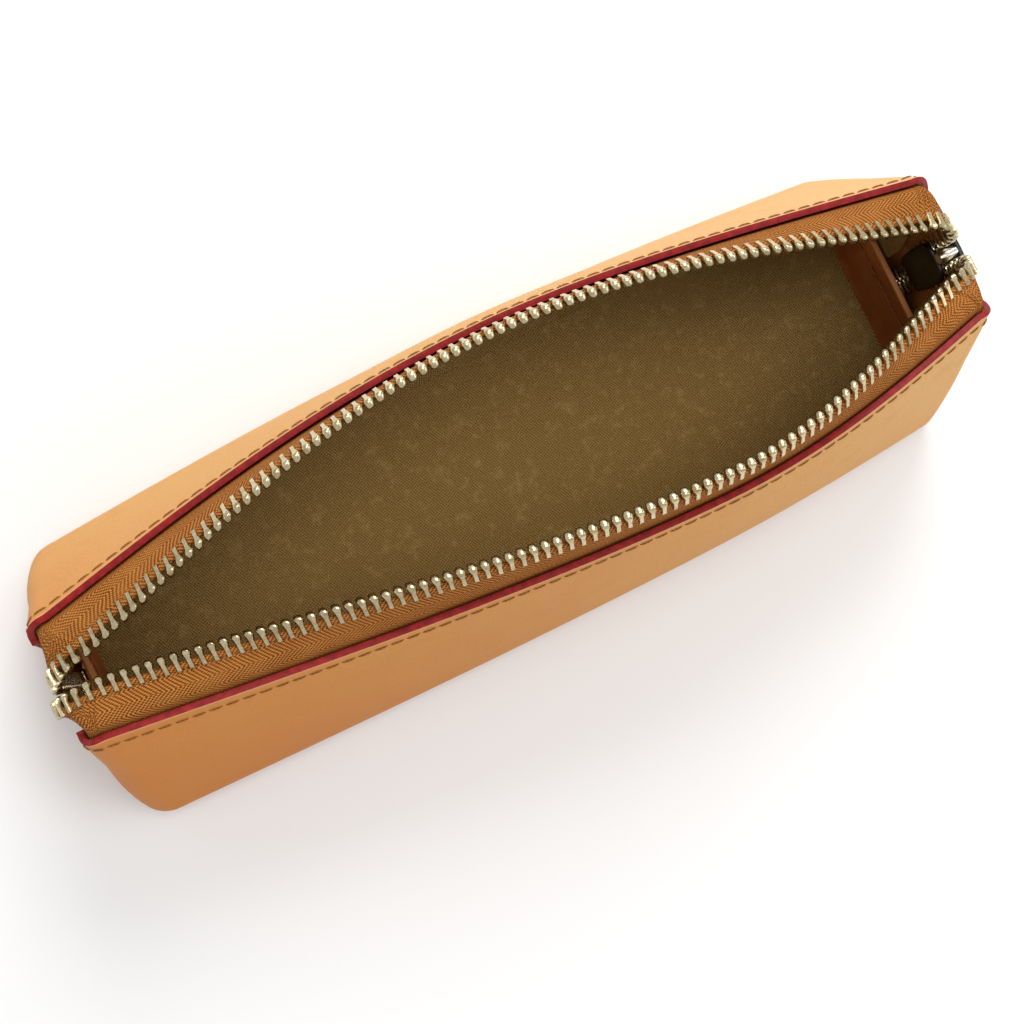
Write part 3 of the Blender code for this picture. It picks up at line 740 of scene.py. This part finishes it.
def cord_half(wall, end, name):
    """The tape's edge cord: a circle carried along the row."""
    row, width, out, t = row_path(wall, end, 300)
    angle = np.arange(CORD_SIDES) * 2 * np.pi / CORD_SIDES
    ring = width[:, None] * np.cos(angle)[None, :, None] + out[:, None] * np.sin(angle)[None, :, None]
    points = row[:, None] - width[:, None] * CORD_AT + ring * CORD
    across = np.tile(angle * 0.7, (len(row), 1))
    values = {"across": across, "along": run_of(row)[:, None] / MM + 0 * across}
    faces = capped_rings(1, len(row), CORD_SIDES)
    piece = mesh_piece(f"{name}_tape_cord", points, faces, values, smooth_angle=80)
    if wall.sign * end > 0:
        piece.data.flip_normals()
    piece.data.materials.append(tape_finish)
    wall.pin_down(piece, end)


for wall, end, name in HALVES:
    tape_half(wall, end, name)
    cord_half(wall, end, name)

# ---------------------------------------------------------------------------------------------
# Teeth: nickel-silver, pressed on to the cord one by one. Each has two legs that grip the cord,
# a narrow neck and a rounded head with a nib on one face.
# ---------------------------------------------------------------------------------------------
PITCH = 2.24 * MM
MESHED_SHARE = 0.62          # teeth on the end walls must fit between those of the other row
# Rings from the legs to the head: place along the width, half size along the row, half
# thickness, and how far the nib leans, all in millimetres.
TOOTH_RINGS = np.array([[-1.74, .56, .94, 0], [-1.66, .62, 1.05, 0], [.35, .6, 1.05, 0], [.7, .82, 1.02, .03],
                        [1.3, .86, 1.0, .06], [1.66, .64, .8, .06], [1.82, .32, .44, .06]]) * MM
TOOTH_OUTLINE = np.array([[1, .55], [.6, 1], [-.6, 1], [-1, .55], [-1, -.55], [-.6, -1], [.6, -1], [1, -.55]])


def tooth_rows(name, row, width, out, along, slim):
    """All the teeth of one half: a chamfered rectangle carried from the legs to the head, its
    size along the row times slim."""
    place, half, thick, lean = TOOTH_RINGS.T
    sideways = half[:, None] * TOOTH_OUTLINE[:, 0] + lean[:, None]
    upward = thick[:, None] * TOOTH_OUTLINE[:, 1]
    shape = (width[:, None, None] * place[None, :, None, None]
             + (along * slim)[:, None, None] * sideways[None, :, :, None]
             + out[:, None, None] * upward[None, :, :, None])
    faces = capped_rings(len(row), len(place), len(TOOTH_OUTLINE))
    return mesh_piece(name, row[:, None, None] + shape, faces, smooth_angle=42)


def nickel_silver():
    """Pale brass-white metal, tumbled: bright with fine scuffs and warmer hollows."""
    look = Finish("nickel_silver")
    scuff = look.noise(2600, 3)
    warm = look.noise(420, 2)
    colour = look.blend(tone(200, 184, 144), tone(227, 215, 183), scuff.ease(0.35, 0.7))
    colour = look.blend(colour, tone(170, 144, 96), warm.ease(0.45, 0.75) * 0.6)
    return look.finish(colour, 0.16 + scuff * 0.14, scuff, 0.00002, Metallic=1.0)


silver_finish = nickel_silver()


def teeth_half(wall, end, name):
    row, width, out, t = row_path(wall, end)
    run = run_of(row)
    foot = PITCH * (0.8 if wall.sign > 0 else 0.3)     # the two rows interlock at their feet
    count = round((run[-1] - foot - PITCH / 2) / PITCH)
    at = np.linspace(PITCH / 2, run[-1] - foot, count + 1)
    pick = [places(a, run, at) for a in (row, width, out)]
    ahead = places(row, run, at + 0.2 * MM) - pick[0]
    behind = pick[0] - places(row, run, at - 0.2 * MM)
    along = unit(unit(ahead + behind) * end)
    slim = mix(1, MESHED_SHARE, smooth(1, 1.8, np.interp(at, run, t)))[:, None]
    teeth = tooth_rows(f"{name}_teeth", pick[0], unit(pick[1]), unit(pick[2]), along, slim)
    if wall.sign < 0:
        teeth.data.flip_normals()
    teeth.data.materials.append(silver_finish)
    wall.pin_down(teeth, end)
    wall.stand_in(teeth, end, "teeth")


for wall, end, name in HALVES:
    teeth_half(wall, end, name)

# ---------------------------------------------------------------------------------------------
# Lining: fine olive-khaki cotton twill, glued and sewn in along the zip, over the base and up
# the walls.
# ---------------------------------------------------------------------------------------------
LINING = 0.6 * MM
LINING_DEPTH = 2.45 * MM
LINING_RISE = 1.4 * MM       # the base lining lies this far above the leather's middle


def twill():
    """Ribs and threads in both slants, 0.56 mm apart, broken by slubs; coordinates in
    millimetres."""
    look = Finish("twill_lining")
    across, along = look.attribute("across"), look.attribute("along")
    rib = ((along + across * 0.5) * (2 * math.pi / 0.56)).sin()
    thread = ((across - along * 0.5) * (2 * math.pi / 0.56)).sin()
    slub = look.noise(420, 4, at=look.stretched((1, 1, 0.35)))
    height = rib * 0.27 + thread * 0.23 + 0.5
    colour = look.blend(tone(132, 102, 54), tone(180, 146, 86), height.ease(0.1, 0.9))
    colour = look.blend(colour, tone(206, 174, 112), slub.ease(0.5, 0.75) * 0.35)
    return look.finish(colour, 0.92, height + slub * 0.25, 0.00014, Specular_IOR_Level=0.2)


lining_finish = twill()


def grid_distances(points):
    """Millimetres along both directions of a grid."""
    a = np.linalg.norm(np.diff(points, axis=0), axis=2)
    b = np.linalg.norm(np.diff(points, axis=1), axis=2)
    along = np.concatenate([np.zeros((1, points.shape[1])), np.cumsum(a, axis=0)]) / MM
    across = np.concatenate([np.zeros((points.shape[0], 1)), np.cumsum(b, axis=1)], axis=1) / MM
    return {"along": np.broadcast_to(along[:, along.shape[1] // 2][:, None], along.shape), "across": across}


def grid_area(points):
    u = points[1:, :-1] - points[:-1, :-1]
    v = points[:-1, 1:] - points[:-1, :-1]
    return float(np.linalg.norm(np.cross(u, v), axis=2).sum())


def lining_half(wall, end, name):
    t, v = sheet_columns(60), wall_heights()
    points, z = folded_grid(wall, end, t, v, LINING_DEPTH, LINING_RISE, 1.2 * MM)
    slack = np.sin(points[..., 0] / (13 * MM) + z / (17 * MM)) * np.sin(z / (9 * MM) + wall.sign)
    points[..., 1] += wall.sign * slack * 0.25 * MM * smooth(3, 2.6, v[None, :] + 0 * z) * (t[:, None] < 1)
    piece = mesh_piece(f"{name}_lining", points, grid_faces(*z.shape), grid_distances(points))
    thicken(piece, LINING, wall.sign * end)
    piece.data.materials.append(lining_finish)
    settle(piece)
    wall.pin_down(piece, end)
    wall.stand_in(piece, end, "lining")
    length = abs(end * END_X - wall.split_x) + 20 * MM
    min(grid_area(points), 0.055 * length)


for wall, end, name in HALVES:
    lining_half(wall, end, name)


def base_lining():
    """Flat on the base between the fold lines, with the faint waves of glued cloth."""
    x = np.linspace(-(END_X - CURL), END_X - CURL, 150)
    s = np.linspace(0, 1, 41)
    low, high = [np.minimum(w.fold_y, base_y(w, x) - CURL - FOLD_INSET) + 0.5 * MM for w in (front, back)]
    y = mix(-low[:, None], high[:, None], s[None, :])
    xx = x[:, None] + 0 * y
    wave = np.sin(xx / (19 * MM) + y / (11 * MM)) * np.sin(y / (15 * MM) - xx / (31 * MM))
    z = FLOOR_Z + LINING_RISE + 0.12 * MM + 0.12 * MM * wave * np.sin(np.pi * s)[None, :]
    points = np.stack([xx, y, z], axis=-1)
    piece = mesh_piece("lining_base", points, grid_faces(*y.shape), grid_distances(points))
    thicken(piece, LINING, 1)
    piece.data.materials.append(lining_finish)
    settle(piece)
    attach(piece, "root")
    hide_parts("base_lining")


base_lining()

# ---------------------------------------------------------------------------------------------
# End patches: a facing of the same leather across the foot of each end wall, covering the
# sewn-in end of the zip, with one line of stitches and a rounded lip along its top.
# ---------------------------------------------------------------------------------------------
PATCH = 1.2 * MM
PATCH_DEPTH = 4.0 * MM
PATCH_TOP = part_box("left_end_patch")[1][2]
PATCH_STITCH = 6 * MM        # below the top


def patch_point(end, s, z, depth):
    """Across the end wall, s from -1 at the front corner to 1 at the back one; straight in the
    middle and following the circle of each corner."""
    radius = corner_r(z)
    start = end_x(z) - radius
    arm = radius - depth
    reach = [wall_y(w, end * start, z) - radius for w in (front, back)]
    y = np.where(s < 0, s * (reach[0] + arm * 0.85), s * (reach[1] + arm * 0.85))
    over = np.maximum(np.abs(y) - np.where(s < 0, reach[0], reach[1]), 0)
    x = start + np.sqrt(np.maximum(arm ** 2 - over ** 2, 0))
    return np.stack([end * x, y, z], axis=-1)


def end_patch(name, end):
    s = np.linspace(-1, 1, 61)[:, None]
    drop = np.array([0, .3, .7, 1.2, 2, 3, 4, 5, 5.6, 6, 6.4, 7, 8.2, 10, 12, 14, 16, 17.6, 19.1]) * MM
    z = PATCH_TOP - drop[None, :] + 0 * s
    groove = np.exp(-((drop - PATCH_STITCH) / (0.6 * MM)) ** 2)[None, :] + 0 * s
    lip = np.exp(-(drop / (1.2 * MM)) ** 2)[None, :] + 0 * s
    points = patch_point(end, s + 0 * z, z, PATCH_DEPTH - 0.1 * MM)
    points[..., 0] -= end * (-groove * 0.25 * MM + lip * 0.15 * MM)
    to_edge = 1.4 + drop[None, :] / MM + 0 * s
    piece = mesh_piece(f"{name}_patch", points, grid_faces(*z.shape), {"to_edge": to_edge})
    thicken(piece, PATCH, end)
    round_edges(piece, 0.45 * MM, 3, (drop[None, :] + 0 * s) < 0.01 * MM)
    piece.data.materials.append(patch_finish)
    settle(piece)
    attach(piece, "root")
    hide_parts(f"{name}_end_patch")
    level = np.full(90, PATCH_TOP - PATCH_STITCH)
    path = patch_point(end, np.linspace(-1, 1, 90), level, PATCH_DEPTH + PATCH / 2)
    centres, along = resampled(path, STITCH_PITCH, 1 * MM)
    normal = square_to(along, np.tile([-float(end), 0.0, 0.0], (len(centres), 1)))
    seam = capsules(f"{name}_patch_stitches", centres, along, normal, STITCH_LENGTH, THREAD)
    seam.data.materials.append(thread_finish)
    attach(seam, "root")


def facing_leather():
    """The body's leather, flesh side rubbed darker and smoother."""
    look = Finish("facing_leather")
    cloud = look.noise(60, 4)
    grain = look.noise(2600, 3)
    lip = 1 - look.attribute("to_edge").ease(1.5, 2.6)
    colour = look.blend(tone(158, 84, 36), tone(216, 130, 60), cloud.ease(0.35, 0.7))
    colour = look.blend(colour, tone(116, 58, 24), grain.ease(0.5, 0.8) * 0.5)
    colour = look.blend(colour, tone(216, 146, 84), lip * 0.6)
    return look.finish(colour, 0.5 + grain * 0.15, grain, 0.00007)


patch_finish = facing_leather()
end_patch("left", -1)
end_patch("right", 1)

# ---------------------------------------------------------------------------------------------
# Slider: one plated casting, painted dark as painted shade. An inner and an outer plate with
# turned-in rims are joined by a wedge post, painted bright as a painted highlight, that parts the
# rows, and a bail on the outer plate carries the pull.
# ---------------------------------------------------------------------------------------------
PLATE = 1.0 * MM
PLATE_HALF_GAP = 1.55 * MM
SLIDER_LOW, SLIDER_HIGH = [corner[2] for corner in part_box("slider_body")]
INNER_HIGH = SLIDER_HIGH - 2.4 * MM


def smooth_loop(corners, steps=8):
    """A closed smooth curve through corner points, given as y from the zip's centre and z."""
    p = np.array(corners)
    before, after, beyond = np.roll(p, 1, axis=0), np.roll(p, -1, axis=0), np.roll(p, -2, axis=0)
    t = np.linspace(0, 1, steps, endpoint=False)[None, :, None]
    curve = (2 * p[:, None] + (after - before)[:, None] * t
             + (2 * before - 5 * p + 4 * after - beyond)[:, None] * t ** 2
             + (3 * p - before - 3 * after + beyond)[:, None] * t ** 3) / 2
    return curve.reshape(-1, 2)


def mirrored(right):
    return right + [(-y, z) for y, z in reversed(right)]


def casting(name, loop, inner_x, outer_x, rounding, crown=0.0):
    """A plate standing on an end wall: its outline carried round a profile that rounds both rims
    and crowns the inner face."""
    middle = loop.mean(axis=0)
    turn = np.linspace(0, np.pi / 2, 5)
    face = np.array([0.02, 0.4, 0.7, 0.88])
    span = np.linalg.norm(loop - middle, axis=1)
    rim = 1 - rounding * (1 - np.sin(turn))[:, None] / span
    shares = np.concatenate([face[:, None] + 0 * span, rim, rim[::-1], face[::-1, None] + 0 * span])
    arc = rounding * (1 - np.cos(turn))
    x = np.concatenate([inner_x - crown * (1 - face ** 2), inner_x + arc, outer_x - arc[::-1],
                        np.full(len(face), outer_x)])
    flat = middle + (loop - middle)[None] * shares[..., None]
    points = np.stack([x[:, None] + 0 * shares, flat[..., 0] + ZIP_CENTRE[1], flat[..., 1]], axis=-1)
    return mesh_piece(name, points, capped_rings(1, len(x), len(loop)), smooth_angle=60)


def tube(name, path, side, radius, sides=12):
    """A round bar along a path that stays in the plane square to side."""
    ahead = unit(np.gradient(path, axis=0))
    normal = np.cross(side, ahead)
    angle = np.arange(sides) * 2 * np.pi / sides
    ring = side * np.cos(angle)[:, None] * radius[0] + normal[:, None] * np.sin(angle)[:, None] * radius[1]
    return mesh_piece(name, path[:, None] + ring, capped_rings(1, len(path), sides), smooth_angle=60)


def plated(name, dark, light, rough):
    """Plating, cloudier and brighter where it is rubbed."""
    look = Finish(name)
    scuff = look.noise(1500, 4)
    rub = look.noise(260, 3)
    colour = look.blend(dark, light, rub.ease(0.4, 0.8) * 0.35)
    return look.finish(colour, rough + scuff * 0.18, scuff, 0.00002, Metallic=1.0)


# painted shade: the slider's plates, bail and pull are painted dark; painted highlight: its post is painted
# bright
slider_shade_finish = plated("gunmetal", tone(62, 60, 60), tone(104, 101, 99), 0.3)
post_highlight_finish = plated("rubbed_post", tone(226, 220, 208), tone(246, 242, 232), 0.14)


def on_body(piece, finish, body):
    piece.data.materials.append(finish)
    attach(piece, body)
    return piece


def plate_loop(high):
    low = SLIDER_LOW
    corners = [(1.6, low), (3.6, low + 0.4 * MM), (4.1, low + 3 * MM), (4.4, high - 5 * MM),
               (4.3, high - 2.4 * MM), (3.1, high - 0.5 * MM), (1.2, high)]
    return smooth_loop(mirrored([(y * MM, z) for y, z in corners]))


inner_x, outer_x = ROW_X - PLATE_HALF_GAP, ROW_X + PLATE_HALF_GAP
inner_plate = on_body(casting("slider_inner_plate", plate_loop(INNER_HIGH), inner_x - PLATE, inner_x,
                              0.42 * MM, 0.12 * MM), slider_shade_finish, "slider")
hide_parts("slider_body")
outer_plate = casting("slider_outer_plate", plate_loop(SLIDER_HIGH), outer_x, outer_x + PLATE, 0.4 * MM)
on_body(outer_plate, slider_shade_finish, "slider")

wedge = [(0.5, SLIDER_HIGH - 0.2 * MM), (1.25, SLIDER_HIGH - 1.2 * MM), (0.95, SLIDER_HIGH - 2.6 * MM),
         (0.3, SLIDER_HIGH - 4.8 * MM)]
post = casting("slider_post", smooth_loop(mirrored([(y * MM, z) for y, z in wedge])), inner_x - 0.8 * MM,
               outer_x + 0.5 * MM, 0.3 * MM)
on_body(post, post_highlight_finish, "slider")

hinge = next(j for j in frame["record"]["behaviour"]["joints"] if j["name"] == "pull_swing")["pos_m"]
turn = np.linspace(-np.pi / 2, np.pi / 2, 24)
bail_x = outer_x + 0.6 * MM + (hinge[0] + 1.1 * MM - outer_x) * np.cos(turn) ** 0.45
bail_path = np.stack([bail_x, 0 * turn + hinge[1], hinge[2] + 2.1 * MM * np.sin(turn)], axis=1)
bail = tube("slider_bail", bail_path, np.array([0, 1.0, 0]), (0.7 * MM, 0.5 * MM))
on_body(bail, slider_shade_finish, "slider")


# ---------------------------------------------------------------------------------------------
# Pull: a flat tab in the slider's metal, painted dark as painted shade, with a window at its head,
# whose top bar runs through the bail. It hangs down the outside of the end wall.
# ---------------------------------------------------------------------------------------------
def pull_tab():
    """A closed band between an outer and an inner loop, with rounded rims: its cross-section
    goes round the band at every place."""
    x, y, top = hinge
    low = top - 24 * MM
    outer = smooth_loop([(py * MM, pz) for py, pz in mirrored(
        [(1.3, low), (2.9, low + 1.2 * MM), (3.1, low + 5 * MM), (2.6, top - 9 * MM), (2.6, top - 2 * MM),
         (2.2, top + 0.4 * MM), (0.8, top + 0.6 * MM)])])
    centre_z = top - 3.4 * MM
    angle = np.arctan2(outer[:, 1] - centre_z, outer[:, 0])
    reach = np.where(np.sin(angle) < 0, 3.1 * MM, 2.9 * MM)
    power = 5
    wide, tall = np.abs(np.cos(angle)) / (1.45 * MM), np.abs(np.sin(angle)) / reach
    norm = (wide ** power + tall ** power) ** (-1 / power)
    inner = np.stack([norm * np.cos(angle), centre_z + norm * np.sin(angle)], axis=1)
    half, rounding = 0.6 * MM, 0.3 * MM
    arc = np.linspace(0, np.pi / 2, 4)
    inset = rounding * (1 - np.sin(arc))
    height = half - rounding * (1 - np.cos(arc))
    band = np.linalg.norm(outer - inner, axis=1)
    out_rim = 1 - inset[:, None] / band
    in_rim = inset[::-1, None] / band
    share = np.concatenate([out_rim, out_rim[::-1], in_rim, in_rim[::-1]])
    rise = np.concatenate([height, -height[::-1], -height, height[::-1]])
    flat = mix(inner[None], outer[None], share[..., None])
    points = np.stack([x + rise[:, None] + 0 * share, flat[..., 0] + y, flat[..., 1]], axis=-1)
    rows, count = share.shape
    faces = grid_faces(rows, count, closed=True).tolist()
    wrap = np.arange(count)
    last = (rows - 1) * count
    faces += np.stack([last + wrap, last + (wrap + 1) % count, (wrap + 1) % count, wrap], axis=1).tolist()
    return mesh_piece("pull_tab", points, faces, smooth_angle=60)


tab = on_body(pull_tab(), slider_shade_finish, "pull")
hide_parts("slider_pull")

# ---------------------------------------------------------------------------------------------
# Stops: small nickel-silver clamps pressed over the cords at the ends of the rows, one on each
# row at the left and one across both at the right.
# ---------------------------------------------------------------------------------------------
for stop in ("top_stop_front", "top_stop_back", "bottom_stop"):
    (x0, y0, z0), (x1, y1, z1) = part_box(stop)
    half, mid = (y1 - y0) / 2, (y0 + y1) / 2 - ZIP_CENTRE[1]
    r = 0.5 * MM
    box_corners = mirrored([(half - 2 * r, z0), (half - r / 2, z0 + r / 4), (half, z0 + 2 * r),
                            (half, z1 - 2 * r), (half - r / 2, z1 - r / 4), (half - 2 * r, z1)])
    clamp = casting(f"{stop}_clamp", smooth_loop(box_corners) + [mid, 0], x0, x1, 0.35 * MM)
    on_body(clamp, silver_finish, "root")
    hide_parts(stop)

# ---------------------------------------------------------------------------------------------
# Floor and light.
# ---------------------------------------------------------------------------------------------


def floor():
    bpy.ops.mesh.primitive_plane_add(size=4, location=(0, 0, -0.1 * MM))
    plane = bpy.context.object
    plane.name = "studio_floor"
    look = Finish("studio_floor")
    plane.data.materials.append(look.finish((0.86, 0.86, 0.86), 0.7))


def area_light(name, power, size, at, aim=(0, 0, 0.03)):
    data = bpy.data.lights.new(name, "AREA")
    data.energy, data.size = power, size
    lamp = bpy.data.objects.new(name, data)
    bpy.context.collection.objects.link(lamp)
    lamp.location = at
    lamp.rotation_euler = (Vector(aim) - Vector(at)).to_track_quat("-Z", "Y").to_euler()


floor()
area_light("key", 6.6, 0.5, (0.4, 0.75, 0.8))
area_light("fill", 2.4, 0.7, (0.9, -0.5, 0.8))
area_light("top", 3.0, 0.5, (0.1, 0.05, 1.0))
world = bpy.data.worlds.new("studio")
bpy.context.scene.world = world
world.use_nodes = True
world.node_tree.nodes["Background"].inputs["Color"].default_value = (1, 1, 1, 1)
world.node_tree.nodes["Background"].inputs["Strength"].default_value = 0.62
bpy.context.scene.view_settings.view_transform = "Standard"
